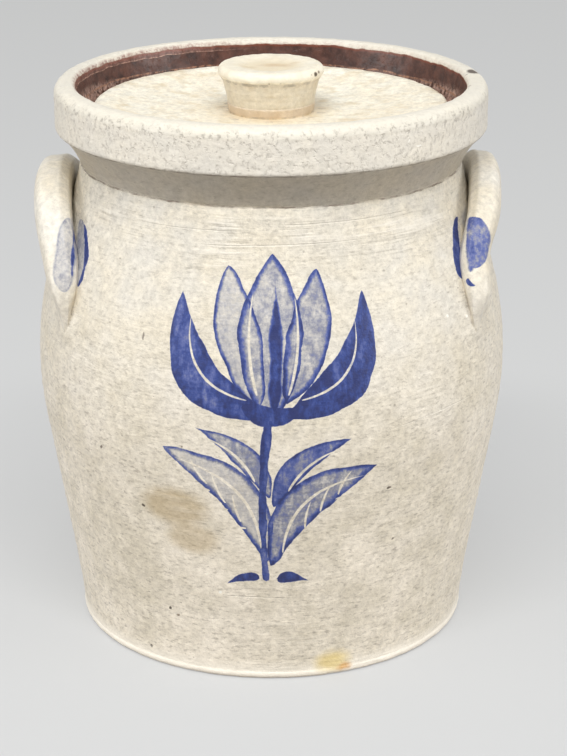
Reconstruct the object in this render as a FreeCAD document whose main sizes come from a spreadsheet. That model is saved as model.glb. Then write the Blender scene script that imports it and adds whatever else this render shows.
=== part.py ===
"""Lidded stoneware rumtopf pot, thrown on the wheel, with two upright ear handles.

Millimetres, +Z up. The origin is the middle of the foot, on the surface the pot stands on.
The pot's axis is Z, the handles stand at -X and +X, and the decorated front faces -Y.

Five pieces: the thrown crock with its rim band and lid gallery, two strap handles luted to
the shoulder, an inset dished lid, and the knob luted to the lid.
"""

import FreeCAD
import Part

import math
import os
import re

import Sketcher

# Driving dimensions: alias, value in millimetres or degrees, what it is. Every alias has
# an underscore, which tells it from the functions in a formula.
DIMENSIONS = (
    ("base_radius", 82.0, "wall at the foot"),
    ("foot_bevel", 1.8, "bevelled edge of the foot"),
    ("flare_height", 24.0, "where the foot's slight flare ends"),
    ("flare_curve", 290.0, "curve of the flare"),
    ("lower_taper", 9.4, "lean of the lower wall, degrees from upright"),
    ("belly_radius", 97.7, "widest point of the wall"),
    ("belly_height", 114.0, "height of the widest point"),
    ("belly_curve", 140.0, "curve of the belly in profile"),
    ("upper_taper", 22.0, "lean of the shoulder where the belly ends, degrees from upright"),
    ("neck_radius", 78.4, "wall at the neck"),
    ("neck_height", 196.0, "turned line where the rim's underside begins"),
    ("neck_curve", 181.0, "hollow curve of the shoulder as it rises to the neck"),
    ("groove_depth", 0.8, "depth of that turned line"),
    ("groove_width", 1.3, "width of that turned line"),
    ("rim_cove", 34.0, "hollow curve of the rim's underside"),
    ("band_radius", 88.2, "outside of the rim band"),
    ("band_height", 210.8, "lower edge of the rim band"),
    ("band_edge", 0.8, "softened lower edge of the band"),
    ("rim_height", 229.4, "top of the rim"),
    ("rim_round", 4.6, "rounding of the rim's outer edge"),
    ("lip_round", 2.8, "rounding of the rim's inner edge"),
    ("mouth_radius", 79.2, "gallery wall at its top"),
    ("gallery_radius", 76.4, "gallery wall at its foot"),
    ("gallery_cove", 3.0, "cove between gallery wall and ledge"),
    ("ledge_height", 213.6, "ledge that carries the lid"),
    ("throat_radius", 66.4, "opening through the ledge"),
    ("throat_depth", 5.0, "thickness of the ledge at the throat"),
    ("throat_edge", 0.8, "softened edge of the ledge"),
    ("wall_thickness", 7.6, "thickness of the thrown wall"),
    ("floor_thickness", 9.0, "thickness of the floor"),
    ("floor_cove", 16.0, "cove between floor and wall inside"),
    ("lid_radius", 72.4, "outside of the lid"),
    ("lid_edge_height", 220.2, "crest of the lid's edge"),
    ("lid_edge_round", 3.0, "rounding of the lid's edge"),
    ("lid_seat_relief", 1.2, "bevelled lower edge of the lid"),
    ("lid_dish_radius", 24.0, "flat middle of the lid"),
    ("lid_dish_height", 216.0, "top of the flat middle"),
    ("lid_dish_curve", 260.0, "hollow curve of the dish"),
    ("lid_thickness", 6.2, "thickness of the middle of the lid"),
    ("ring_radius", 64.6, "outside of the locating ring under the lid"),
    ("ring_width", 5.2, "width of the locating ring"),
    ("ring_depth", 6.4, "how far the ring drops below the seat"),
    ("ring_bevel", 1.6, "bevelled edges of the ring"),
    ("knob_foot", 18.4, "foot of the knob"),
    ("foot_curve", 11.2, "hollow curve from the knob's foot to its waist"),
    ("knob_waist", 17.1, "waist of the knob"),
    ("waist_height", 221.6, "height of the waist"),
    ("waist_curve", 16.0, "hollow curve from the waist to the knob's lip"),
    ("knob_lip", 21.1, "lip of the knob"),
    ("lip_edge", 2.8, "rounding of the knob's lip"),
    ("knob_height", 235.2, "crest of the knob"),
    ("knob_hollow", 1.1, "hollow in the knob's top"),
    ("hollow_radius", 16.0, "edge of that hollow"),
    ("hollow_floor", 9.0, "flat middle of that hollow"),
    ("arch_span", 43.0, "half the spread of each handle's arch"),
    ("arch_springing", 155.5, "height where the arches spring"),
    ("strap_width", 17.0, "strap across, in the plane of its arch"),
    ("left_reach", 88.7, "middle of the left strap from the axis"),
    ("left_thickness", 15.4, "left strap through, away from the wall"),
    ("left_rise", 31.4, "rise of the left arch above its springing"),
    ("left_draw", 7.5, "how far the left legs are drawn in to the wall"),
    ("right_reach", 87.1, "middle of the right strap from the axis"),
    ("right_thickness", 13.4, "right strap through, away from the wall"),
    ("right_rise", 33.2, "rise of the right arch above its springing"),
    ("right_draw", 9.0, "how far the right legs are drawn in to the wall"),
)

# Sections of the strap on the arch: degrees from the crown, width share, thickness share.
ARCH_SECTIONS = (
    (25.0, 0.99, 1.00),
    (50.0, 0.96, 0.98),
    (74.0, 0.95, 0.94),
)

# Sections where the leg is smeared down the wall: name, distance out from the axis,
# spread from the middle plane, height, width, thickness. They lean in by TAIL_LEAN.
TAIL_SECTIONS = (
    ("terminal", 81.5, 45.2, 152.5, 18.0, 11.6),
    ("smear", 81.3, 46.5, 143.5, 13.5, 6.8),
    ("tip", 80.2, 46.4, 135.5, 8.0, 4.0),
)
TAIL_LEAN = 0.12


def make_sheet(doc):
    """The spreadsheet of driving dimensions, one aliased cell each."""
    sheet = doc.addObject("Spreadsheet::Sheet", "Sizes")
    for row, (alias, value, meaning) in enumerate(DIMENSIONS, start=1):
        sheet.set(f"A{row}", alias)
        sheet.set(f"B{row}", str(value))
        sheet.set(f"C{row}", meaning)
        sheet.setAlias(f"B{row}", alias)
    doc.recompute()
    return sheet


def in_sheet(formula):
    """A formula in the sheet's aliases, as an expression that other objects can use."""
    return re.sub(r"[a-z]+(_[a-z]+)+", lambda alias: "Sizes." + alias.group(), formula)


def evaluate(sheet, formula):
    """The number that a formula in the sheet's aliases stands for."""
    result = sheet.evalExpression(in_sheet(formula))
    return float(getattr(result, "Value", result))


def own_plane(body, role):
    """One of a body's own origin planes."""
    return next(feature for feature in body.Origin.OriginFeatures if feature.Role == role)


def arc_between(start, end, radius, hollow):
    """The shorter arc of a radius between two points, bulging out unless it is hollow."""
    chord = end - start
    middle = (start + end) * 0.5
    rise = math.sqrt(max(radius ** 2 - (chord.Length / 2) ** 2, 0.0))
    left = FreeCAD.Vector(-chord.y, chord.x, 0).normalize()
    centre = middle - left * rise if hollow else middle + left * rise
    circle = Part.Circle(centre, FreeCAD.Vector(0, 0, 1), radius)
    first, last = (end, start) if hollow else (start, end)
    angles = [math.atan2(point.y - centre.y, point.x - centre.x) for point in (first, last)]
    return Part.ArcOfCircle(circle, *angles)


def pin(sketch, geometry, position, name, radius, height):
    """Hold one point of a sketch at a radius and a height given as formulas."""
    origin, across, upright = (-1, 1), -1, -2
    if radius == "0" and height == "0":
        sketch.addConstraint(Sketcher.Constraint("Coincident", geometry, position, *origin))
        return
    for kind, formula, axis in (("DistanceX", radius, upright), ("DistanceY", height, across)):
        if formula == "0":
            sketch.addConstraint(Sketcher.Constraint("PointOnObject", geometry, position, axis))
            continue
        value = evaluate(sketch.Document.Sizes, formula)
        index = sketch.addConstraint(
            Sketcher.Constraint(kind, *origin, geometry, position, value))
        label = name + ("_radius" if kind == "DistanceX" else "_height")
        sketch.renameConstraint(index, label)
        sketch.setExpression("Constraints." + label, in_sheet(formula))


def draw_outline(body, name, corners):
    """A closed half profile on the body's XZ plane: x is the radius and y the height.

    Each corner is a name, its radius and height as formulas, and the edge that leaves it:
    None for a straight one, or the radius of an arc, with a leading minus for a hollow one.
    The corners run anticlockwise.
    """
    sketch = body.newObject("Sketcher::SketchObject", name)
    sketch.AttachmentSupport = [(own_plane(body, "XZ_Plane"), "")]
    sketch.MapMode = "FlatFace"
    sheet = body.Document.Sizes
    points = [FreeCAD.Vector(evaluate(sheet, radius), evaluate(sheet, height), 0)
              for _corner, radius, height, _edge in corners]
    ends = []
    for index, (corner, _radius, _height, edge) in enumerate(corners):
        start, end = points[index], points[(index + 1) % len(points)]
        if edge is None:
            geometry = sketch.addGeometry(Part.LineSegment(start, end))
            ends.append((geometry, 1, 2))
            continue
        hollow = edge.startswith("-")
        curve = edge.lstrip("-")
        geometry = sketch.addGeometry(arc_between(start, end, evaluate(sheet, curve), hollow))
        ends.append((geometry, 2, 1) if hollow else (geometry, 1, 2))
        bend = sketch.addConstraint(
            Sketcher.Constraint("Radius", geometry, evaluate(sheet, curve)))
        sketch.renameConstraint(bend, corner + "_curve")
        sketch.setExpression(f"Constraints.{corner}_curve", in_sheet(curve))
    for index, (geometry, first, _last) in enumerate(ends):
        before, _first, last = ends[index - 1]
        sketch.addConstraint(Sketcher.Constraint("Coincident", before, last, geometry, first))
        corner, radius, height, _edge = corners[index]
        pin(sketch, geometry, first, corner, radius, height)
    return sketch


def turn(body, kind, name, sketch):
    """Turn a half profile a full circle about the upright axis, adding or removing clay."""
    feature = body.newObject("PartDesign::" + kind, name)
    feature.Profile = sketch
    feature.ReferenceAxis = (sketch, ["V_Axis"])
    feature.Angle = 360.0
    sketch.Visibility = False
    return feature


# Tangent points of the outer wall, where the belly's arc meets the straight lower wall and
# the hollow of the shoulder.
BELLY_START_RADIUS = "belly_radius - belly_curve * (1 - cos(lower_taper * 1deg))"
BELLY_START_HEIGHT = "belly_height - belly_curve * sin(lower_taper * 1deg)"
BELLY_END_RADIUS = "belly_radius - belly_curve * (1 - cos(upper_taper * 1deg))"
BELLY_END_HEIGHT = "belly_height + belly_curve * sin(upper_taper * 1deg)"


def lower_wall(height, inset="0"):
    """Radius of the straight lower wall at a height, moved in by an inset along its normal."""
    return (f"{BELLY_START_RADIUS} - ({BELLY_START_HEIGHT} - ({height})) * tan(lower_taper * 1deg)"
            f" - ({inset}) / cos(lower_taper * 1deg)")


def build_crock(doc):
    """The thrown crock: foot, belly, shoulder, rim band, and the hollow with its gallery."""
    body = doc.addObject("PartDesign::Body", "crock_body")
    outside = draw_outline(body, "crock_outline", (
        ("base_middle", "0", "0", None),
        ("base_edge", "base_radius - foot_bevel", "0", None),
        ("foot", "base_radius", "foot_bevel", "-flare_curve"),
        ("flare_top", lower_wall("flare_height"), "flare_height", None),
        ("belly_start", BELLY_START_RADIUS, BELLY_START_HEIGHT, "belly_curve"),
        ("belly_end", BELLY_END_RADIUS, BELLY_END_HEIGHT, "-neck_curve"),
        ("neck", "neck_radius", "neck_height", None),
        ("groove", "neck_radius - groove_depth", "neck_height + groove_width / 4", None),
        ("cove_start", "neck_radius", "neck_height + groove_width", "-rim_cove"),
        ("band_underside", "band_radius - band_edge", "band_height", None),
        ("band_start", "band_radius", "band_height + band_edge", None),
        ("band_end", "band_radius", "rim_height - rim_round", "rim_round"),
        ("rim_top", "band_radius - rim_round", "rim_height", None),
        ("axis_top", "0", "rim_height", None),
    ))
    turn(body, "Revolution", "thrown_form", outside)
    inner_curve = "(belly_curve - wall_thickness)"
    centre_radius = "(belly_radius - belly_curve)"
    cove_height = "floor_thickness + floor_cove * (1 - sin(lower_taper * 1deg))"
    cove_end = lower_wall(cove_height, "wall_thickness")
    inside = draw_outline(body, "hollow_outline", (
        ("floor_middle", "0", "floor_thickness", None),
        ("floor_edge", f"{cove_end} - floor_cove * cos(lower_taper * 1deg)",
         "floor_thickness", "floor_cove"),
        ("wall_foot", cove_end, cove_height, None),
        ("inner_start", f"{centre_radius} + {inner_curve} * cos(lower_taper * 1deg)",
         f"belly_height - {inner_curve} * sin(lower_taper * 1deg)", inner_curve),
        ("inner_end", f"{centre_radius} + {inner_curve} * cos(upper_taper * 1deg)",
         f"belly_height + {inner_curve} * sin(upper_taper * 1deg)",
         "-(neck_curve + wall_thickness)"),
        ("inner_neck", "neck_radius - wall_thickness", "neck_height", "throat_depth * 3"),
        ("throat_foot", "throat_radius", "ledge_height - throat_depth", None),
        ("throat_top", "throat_radius", "ledge_height - throat_edge", None),
        ("ledge_start", "throat_radius + throat_edge", "ledge_height", None),
        ("ledge_end", "gallery_radius - gallery_cove", "ledge_height", "gallery_cove"),
        ("gallery_foot", "gallery_radius", "ledge_height + gallery_cove", None),
        ("gallery_top", "mouth_radius", "rim_height - lip_round", "-lip_round"),
        ("lip", "mouth_radius + lip_round", "rim_height", None),
        ("mouth_edge", "mouth_radius + lip_round", "rim_height + rim_round", None),
        ("mouth_middle", "0", "rim_height + rim_round", None),
    ))
    turn(body, "Groove", "thrown_hollow", inside)
    return body


def build_lid(doc):
    """The inset lid: a dished disc with a rounded edge and a locating ring below the seat."""
    body = doc.addObject("PartDesign::Body", "lid")
    outline = draw_outline(body, "lid_outline", (
        ("underside_middle", "0", "lid_dish_height - lid_thickness", None),
        ("underside_edge", "ring_radius - ring_width - ring_bevel * 2",
         "lid_dish_height - lid_thickness", None),
        ("ring_inner_foot", "ring_radius - ring_width",
         "ledge_height - ring_depth + ring_bevel", None),
        ("ring_inner", "ring_radius - ring_width + ring_bevel", "ledge_height - ring_depth", None),
        ("ring_outer", "ring_radius - ring_bevel", "ledge_height - ring_depth", None),
        ("ring_outer_foot", "ring_radius", "ledge_height - ring_depth + ring_bevel", None),
        ("seat_start", "ring_radius", "ledge_height", None),
        ("seat_end", "lid_radius - lid_seat_relief", "ledge_height", None),
        ("side_start", "lid_radius", "ledge_height + lid_seat_relief", None),
        ("side_end", "lid_radius", "lid_edge_height - lid_edge_round", "lid_edge_round"),
        ("crest", "lid_radius - lid_edge_round", "lid_edge_height", None),
        ("crest_inner", "lid_radius - lid_edge_round * 2", "lid_edge_height", "-lid_dish_curve"),
        ("dish_edge", "lid_dish_radius", "lid_dish_height", None),
        ("dish_middle", "0", "lid_dish_height", None),
    ))
    turn(body, "Revolution", "thrown_lid", outline)
    return body


def build_knob(doc):
    """The knob: a short waisted stem under a round lip, with a shallow hollow on top."""
    body = doc.addObject("PartDesign::Body", "lid_knob")
    outline = draw_outline(body, "knob_outline", (
        ("seat_middle", "0", "lid_dish_height", None),
        ("seat_edge", "knob_foot", "lid_dish_height", "-foot_curve"),
        ("waist", "knob_waist", "waist_height", "-waist_curve"),
        ("lip_under", "knob_lip - lip_edge * (1 - cos(60deg))",
         "knob_height - lip_edge * (1 + sin(60deg))", "lip_edge"),
        ("lip_crest", "knob_lip - lip_edge", "knob_height", None),
        ("hollow_edge", "hollow_radius", "knob_height", None),
        ("hollow_foot", "hollow_floor", "knob_height - knob_hollow", None),
        ("hollow_middle", "0", "knob_height - knob_hollow", None),
    ))
    turn(body, "Revolution", "thrown_knob", outline)
    return body


def place_section(doc, name, place, size, outward, along):
    """One oval section of a strap: its width in the arch's plane, its thickness outward."""
    section = doc.addObject("Part::Ellipse", name)
    for axis, formula in zip(("MajorRadius", "MinorRadius"), size):
        section.setExpression(axis, in_sheet(f"({formula}) / 2"))
    along.normalize()
    section.Placement.Rotation = FreeCAD.Rotation(outward.cross(along), outward, along, "ZYX")
    for axis, formula in zip("xyz", place):
        section.setExpression("Placement.Base." + axis, in_sheet(formula))
    section.Visibility = False
    return section


def leg_stations(hand, side, end, span, rise):
    """Where a leg's sections stand, from its tip up the arch: name, place, size, direction."""
    for label, out, spread, height, width, thickness in reversed(TAIL_SECTIONS):
        place = (str(side * out), str(end * spread), str(height))
        yield label, place, (str(width), str(thickness)), FreeCAD.Vector(0, -end * TAIL_LEAN, 1)
    for angle, width_share, thickness_share in reversed(ARCH_SECTIONS):
        turned = f"({angle} * 1deg)"
        place = (f"{side} * ({hand}_reach - {hand}_draw * (1 - cos{turned}))",
                 f"{end} * arch_span * sin{turned}",
                 f"arch_springing + {hand}_rise * cos{turned}")
        size = (f"strap_width * {width_share}", f"{hand}_thickness * {thickness_share}")
        slope = math.radians(angle)
        along = FreeCAD.Vector(0, -end * span * math.cos(slope), rise * math.sin(slope))
        yield f"arch_{angle:.0f}", place, size, along


def build_handle(doc, hand, side, crock):
    """An ear handle: a strap bent into an upright arch, its legs smeared onto the shoulder."""
    name = hand + "_handle"
    span, rise = evaluate(doc.Sizes, "arch_span"), evaluate(doc.Sizes, hand + "_rise")
    outward = FreeCAD.Vector(side, 0, 0)
    sections = []
    for label, place, size, along in leg_stations(hand, side, -1, span, rise):
        sections.append(place_section(doc, f"{name}_front_{label}", place, size, outward, along))
    crown = (f"{side} * {hand}_reach", "0", f"arch_springing + {hand}_rise")
    sections.append(place_section(doc, name + "_crown", crown, ("strap_width", hand + "_thickness"),
                                  outward, FreeCAD.Vector(0, 1, 0)))
    back = list(leg_stations(hand, side, 1, span, rise))
    for label, place, size, along in reversed(back):
        sections.append(place_section(doc, f"{name}_back_{label}", place, size, outward, -along))
    strap = doc.addObject("Part::Loft", name + "_strap")
    strap.Sections = sections
    strap.Solid = True
    handle = doc.addObject("Part::Cut", name)
    handle.Base = strap
    handle.Tool = crock
    return handle


def check(doc, pieces):
    """Stop on any feature that failed, or any piece that is not one valid solid."""
    for item in doc.Objects:
        if "Invalid" in item.State or "Error" in item.State:
            raise RuntimeError(f"{item.Label} failed: {item.State}")
    for piece in pieces:
        shape = piece.Shape
        if shape.isNull() or not shape.isValid() or len(shape.Solids) != 1:
            raise RuntimeError(f"{piece.Label} is not one valid solid: {len(shape.Solids)}")
        box = shape.BoundBox
        print(f"{piece.Label}: {shape.Volume / 1000:.1f} cm3, x {box.XMin:.1f} {box.XMax:.1f},"
              f" y {box.YMin:.1f} {box.YMax:.1f}, z {box.ZMin:.1f} {box.ZMax:.1f}")


def main():
    """Build the pot and write each piece as a STEP file."""
    doc = FreeCAD.newDocument("rumtopf_pot")
    make_sheet(doc)
    crock = build_crock(doc)
    pieces = [
        crock,
        build_lid(doc),
        build_knob(doc),
        build_handle(doc, "left", -1, crock),
        build_handle(doc, "right", 1, crock),
    ]
    doc.recompute()
    check(doc, pieces)
    os.makedirs("parts", exist_ok=True)
    for piece in pieces:
        piece.Shape.exportStep(f"parts/{piece.Label}.step")


main()
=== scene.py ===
"""Looks of the rumtopf pot: a thrown, salt-glazed stoneware crock with ear handles and a lid.

Metres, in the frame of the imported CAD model: +Z up, the handles at -X and +X, the painted
front facing -Y. The file is laid out as an add-on and is run as a script.
"""

import math
from functools import partial
from typing import NamedTuple

import bmesh
import bpy
import numpy as np
from bpy.props import FloatProperty, FloatVectorProperty, IntProperty, PointerProperty
from mathutils import Euler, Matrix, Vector


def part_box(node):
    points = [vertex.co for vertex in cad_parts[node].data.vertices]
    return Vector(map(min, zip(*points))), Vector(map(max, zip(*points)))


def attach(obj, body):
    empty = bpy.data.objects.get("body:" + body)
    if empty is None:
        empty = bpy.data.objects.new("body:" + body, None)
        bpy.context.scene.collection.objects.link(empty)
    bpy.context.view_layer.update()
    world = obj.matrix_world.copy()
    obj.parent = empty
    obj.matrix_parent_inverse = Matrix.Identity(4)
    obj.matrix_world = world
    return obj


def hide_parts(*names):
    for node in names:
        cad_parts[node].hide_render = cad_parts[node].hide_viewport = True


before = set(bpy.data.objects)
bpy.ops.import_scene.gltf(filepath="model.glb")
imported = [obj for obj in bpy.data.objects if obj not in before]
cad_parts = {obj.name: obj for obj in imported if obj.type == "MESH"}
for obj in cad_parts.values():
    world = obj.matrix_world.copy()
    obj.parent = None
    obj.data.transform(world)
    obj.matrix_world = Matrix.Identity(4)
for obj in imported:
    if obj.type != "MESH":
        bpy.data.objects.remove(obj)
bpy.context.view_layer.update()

bl_info = {
    "name": "Rumtopf pot",
    "version": (1, 0, 0),
    "blender": (4, 5, 0),
    "location": "3D View > Sidebar > Pot",
    "description": "Builds a lidded salt-glazed stoneware pot round its CAD frame",
    "category": "Object",
}

MM = 0.001
CHART_RADIUS = 96 * MM
TOUCHING = 1e-6  # points as near as this, in metres, are one

# Kinds of node, named after what they are used for.
MATH, VECTOR = "ShaderNodeMath", "ShaderNodeVectorMath"
SHIFT, AWAY, STRETCH, SCALE, LENGTH, DOT = (
    f"{VECTOR} {word}"
    for word in ("ADD", "SUBTRACT", "MULTIPLY", "SCALE", "LENGTH", "DOT_PRODUCT"))
MIX, BLEND = "ShaderNodeMix", "ShaderNodeMix RGBA"
NOISE, CELLS = "ShaderNodeTexNoise", "ShaderNodeTexVoronoi"
RANGE, SMOOTH = "ShaderNodeMapRange", "ShaderNodeMapRange SMOOTHSTEP"
GROUP, XYZ, PARTS = "ShaderNodeGroup", "ShaderNodeCombineXYZ", "ShaderNodeSeparateXYZ"

# What the word after a kind of node sets.
WORDS = {MATH: "operation", VECTOR: "operation", MIX: "data_type", RANGE: "interpolation_type"}

# What the settings of one sort share.
SIZE = {"min": 0.01, "subtype": "DISTANCE", "unit": "LENGTH"}
DEPTH = {**SIZE, "min": 0.0}
COLOUR = {"size": 4, "min": 0.0, "max": 1.0, "subtype": "COLOR"}


def linear(colour):
    """An sRGB hex colour as linear red, green, blue and alpha."""
    shares = [int(colour[start:start + 2], 16) / 255 for start in (1, 3, 5)]
    return tuple(share / 12.92 if share <= 0.04045 else ((share + 0.055) / 1.055) ** 2.4
                 for share in shares) + (1.0,)


def per(millimetres):
    """The texture scale, in repeats per metre, of a pattern with features of a real size."""
    return 1.0 / (millimetres * MM)


def join(value, socket):
    """Link a socket, or a node's first live output, to an input socket, or set its value.

    A colour may be sRGB hex.
    """
    if isinstance(value, bpy.types.Node):
        value = next(output for output in value.outputs if output.enabled)
    if isinstance(value, bpy.types.NodeSocket):
        socket.id_data.links.new(value, socket)
    else:
        hexed = isinstance(value, str) and value.startswith("#")
        socket.default_value = linear(value) if hexed else value


def add(tree, kind, *values, **named):
    """Add a node with its settings, and fill or link its live input sockets in order.

    A kind in capitals is what a Math node does, and a word after a kind is what it does or
    mixes. A kind without "Node" is one of the tree's own. A name with a capital is a
    socket's, any other is a setting's. Values left over go to one more node of the kind.
    """
    kind, _, word = (f"{MATH} {kind}" if kind.isupper() else kind).partition(" ")
    node = tree.nodes.new(kind if "Node" in kind else tree.bl_idname.replace("Tree", kind))
    if word:
        setattr(node, WORDS[kind], word)
    for name, value in named.items():
        if name[0].islower():
            setattr(node, name, value)
        else:
            join(value, node.inputs[name.replace("_", " ")])
    live = [socket for socket in node.inputs if socket.enabled]
    for value, socket in zip(values, live):
        join(value, socket)
    rest = values[len(live):]
    return add(tree, f"{kind} {word}", node, *rest, **named) if rest else node


def new_tree(name, kind, inputs, outputs):
    """A node group with named inputs and outputs; returns what to build it with."""
    tree = bpy.data.node_groups.new(name, kind + "NodeTree")
    for label, socket, *value in inputs:
        made = tree.interface.new_socket(label, in_out="INPUT", socket_type="NodeSocket" + socket)
        if value:
            made.default_value = value[0]
    for label, socket in outputs:
        tree.interface.new_socket(label, in_out="OUTPUT", socket_type="NodeSocket" + socket)
    put = partial(add, tree)
    return tree, put, put("NodeGroupInput").outputs, put("NodeGroupOutput").inputs


def clouds(put, place, size, detail, limits, rough=0.5):
    """Soft noise with features of a size in millimetres, spread over limits of a Map Range."""
    return put(RANGE, put(NOISE, place, per(size), detail, rough), *limits)


# ---------------------------------------------------------------------------------------
# Settings a user may change


class PotSizes(bpy.types.PropertyGroup):
    """Sizes of the thrown forms."""

    base_radius: FloatProperty(
        name="Base", description="Radius of the wall at the foot", default=0.082, **SIZE)
    belly_radius: FloatProperty(
        name="Belly", description="Radius at the widest point of the wall",
        default=round(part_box("crock_body")[1].x, 5), **SIZE)
    belly_height: FloatProperty(
        name="Belly height", description="Height of the widest point", default=0.114, **SIZE)
    neck_radius: FloatProperty(
        name="Neck", description="Radius of the neck under the rim", default=0.0784, **SIZE)
    neck_height: FloatProperty(
        name="Neck height", description="Height of the turned line round the neck", default=0.196, **SIZE)
    band_radius: FloatProperty(
        name="Rim band", description="Radius of the rim band", default=0.0882, **SIZE)
    rim_height: FloatProperty(
        name="Rim height", description="Height of the top of the rim",
        default=round(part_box("crock_body")[1].z, 5), **SIZE)
    wall: FloatProperty(
        name="Wall", description="Thickness of the thrown wall",
        default=0.0076, min=0.001, subtype="DISTANCE", unit="LENGTH")
    lid_radius: FloatProperty(
        name="Lid", description="Radius of the lid", default=round(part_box("lid")[1].x, 5), **SIZE)
    turns: IntProperty(
        name="Facets round", description="Faces round each thrown form", default=372, min=24, max=720)
    ripple_height: FloatProperty(
        name="Throwing lines", description="Depth of the lines that the fingers leave",
        default=0.00034, **DEPTH)
    ripple_pitch: FloatProperty(
        name="Line spacing", description="Rise of the fingers in one turn of the wheel",
        default=0.0062, min=0.001, subtype="DISTANCE", unit="LENGTH")
    out_of_round: FloatProperty(
        name="Out of round", description="How far the drying clay has pulled from a circle",
        default=0.0004, **DEPTH)
    lumps: FloatProperty(
        name="Lumps", description="Depth of the lumps in the clay's skin", default=0.00026, **DEPTH)
    luting: FloatProperty(
        name="Luting", description="Reach of the clay smeared into each handle's joint",
        default=0.0056, min=0.0002, subtype="DISTANCE", unit="LENGTH")


class PotColours(bpy.types.PropertyGroup):
    """Colours of the clay, the glazes and the painting."""

    salt: FloatVectorProperty(
        name="Salt glaze", description="Grey-cream of the salt-glazed clay",
        default=linear("#d9d4c9"), **COLOUR)
    # Warmer glaze towards the foot, made paler there as painted light for the dimmer light low on the
    # wall
    low_salt_and_painted_light: FloatVectorProperty(
        name="Low salt glaze", description="Paler, warmer glaze towards the foot",
        default=linear("#fcf3e3"), **COLOUR)
    toasted: FloatVectorProperty(
        name="Toasted clay", description="Warmer patches where the flame reached",
        default=linear("#e2d9c6"), **COLOUR)
    grain: FloatVectorProperty(
        name="Grain", description="Clay grain that shows through the glaze",
        default=linear("#978f84"), **COLOUR)
    iron: FloatVectorProperty(
        name="Iron", description="Specks of iron in the clay", default=linear("#4b3b2e"), **COLOUR)
    handle: FloatVectorProperty(
        name="Handles", description="Paler salt glaze of the handles",
        default=linear("#e8e3d8"), **COLOUR)
    lid: FloatVectorProperty(
        name="Lid", description="Creamier salt glaze of the lid", default=linear("#fbf7e8"), **COLOUR)
    lid_toasted: FloatVectorProperty(
        name="Toasted lid", description="Warmer drifts in the lid's glaze",
        default=linear("#f8eed8"), **COLOUR)
    lid_tan: FloatVectorProperty(
        name="Lid tan", description="Tan patches on the lid", default=linear("#d9c8a6"), **COLOUR)
    slip: FloatVectorProperty(
        name="Slip", description="Dark brown slip that lines the pot",
        default=linear("#5e3c31"), **COLOUR)
    fringe: FloatVectorProperty(
        name="Slip edge", description="Rusty line where the slip runs thin",
        default=linear("#84432f"), **COLOUR)
    bare: FloatVectorProperty(
        name="Bare clay", description="Unglazed buff clay under the foot and the lid",
        default=linear("#cbb391"), **COLOUR)


class StudioLook(bpy.types.PropertyGroup):
    """The floor and the light."""

    floor: FloatVectorProperty(
        name="Floor", description="Colour of the floor as the camera sees it",
        default=linear("#c8c9ca"), **COLOUR)
    floor_bounce: FloatVectorProperty(
        name="Floor bounce", description="Colour of the light that the floor gives back",
        default=linear("#98938e"), **COLOUR)
    key_power: FloatProperty(
        name="Key light", description="Power of the high front lamp, in watts",
        default=26.0, min=0.0, unit="POWER")
    left_power: FloatProperty(
        name="Left fill", description="Power of the low lamp on the left, in watts",
        default=35.0, min=0.0, unit="POWER")
    right_power: FloatProperty(
        name="Right fill", description="Power of the low lamp on the right, in watts",
        default=39.0, min=0.0, unit="POWER")
    sky: FloatProperty(
        name="Room light", description="Strength of the even light all round", default=0.5, min=0.0)


# ---------------------------------------------------------------------------------------
# Thrown forms


def arc_points(start, end, curve, step):
    """Points after the start of an edge: an arc of a radius, hollow if minus, or a line."""
    start, end = np.array(start), np.array(end)
    chord = end - start
    length = float(np.hypot(*chord))
    count = max(1, math.ceil(length / step))
    widest_turn = math.radians(14)
    shares = np.arange(1, count + 1)[:, None] / count
    if not curve:
        return [tuple(point) for point in start + chord * shares]
    right = np.array((chord[1], -chord[0])) / length
    rise = math.sqrt(max(curve ** 2 - (length / 2) ** 2, 0.0))
    centre = (start + end) / 2 - right * rise * math.copysign(1.0, curve)
    first, last = (math.atan2(*(point - centre)[::-1]) for point in (start, end))
    turn = (last - first + math.pi) % (2 * math.pi) - math.pi
    count = max(count, math.ceil(abs(turn) / widest_turn))
    shares = np.arange(1, count + 1) / count
    angles = first + turn * shares
    return [tuple(point) for point in
            centre + abs(curve) * np.stack((np.cos(angles), np.sin(angles)), 1)]


def draw_profile(corners, soft):
    """A half profile as points, with how much wheel marks show at each, in metres.

    Each corner is in millimetres: its radius, its height, the curve of the edge that leaves
    it, the longest step along that edge, and last its share of wheel marks. Sharp corners
    are softened.
    """
    corners = [(*(size * MM for size in sizes), marks) for *sizes, marks in corners]
    path, marks = [corners[0][:2]], [corners[0][4]]
    for corner, after in zip(corners, corners[1:]):
        made = arc_points(corner[:2], after[:2], corner[2], corner[3])
        path += made
        marks += [min(corner[4], after[4])] * len(made)
    path, marks = np.array(path), np.array(marks)
    points, shares = [path[0]], [marks[0]]
    nearly_straight, edge_share = math.cos(math.radians(16)), 0.45
    for before, here, after, share in zip(path, path[1:], path[2:], marks[1:]):
        back, ahead = before - here, after - here
        reach_back, reach_ahead = np.hypot(*back), np.hypot(*ahead)
        cosine = -np.dot(back, ahead) / (reach_back * reach_ahead)
        if cosine > nearly_straight or here[0] < MM:
            points.append(here)
            shares.append(share)
            continue
        back, ahead = back / reach_back, ahead / reach_ahead
        reach_back, reach_ahead = min(soft, reach_back * edge_share), min(soft, reach_ahead * edge_share)
        for turn in (0.0, 0.25, 0.5, 0.75, 1.0):
            bend = here + back * reach_back * (1 - turn) ** 2 + ahead * reach_ahead * turn ** 2
            points.append(bend)
            shares.append(share)
    return np.array(points + [path[-1]]), np.array(shares + [marks[-1]])


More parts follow.
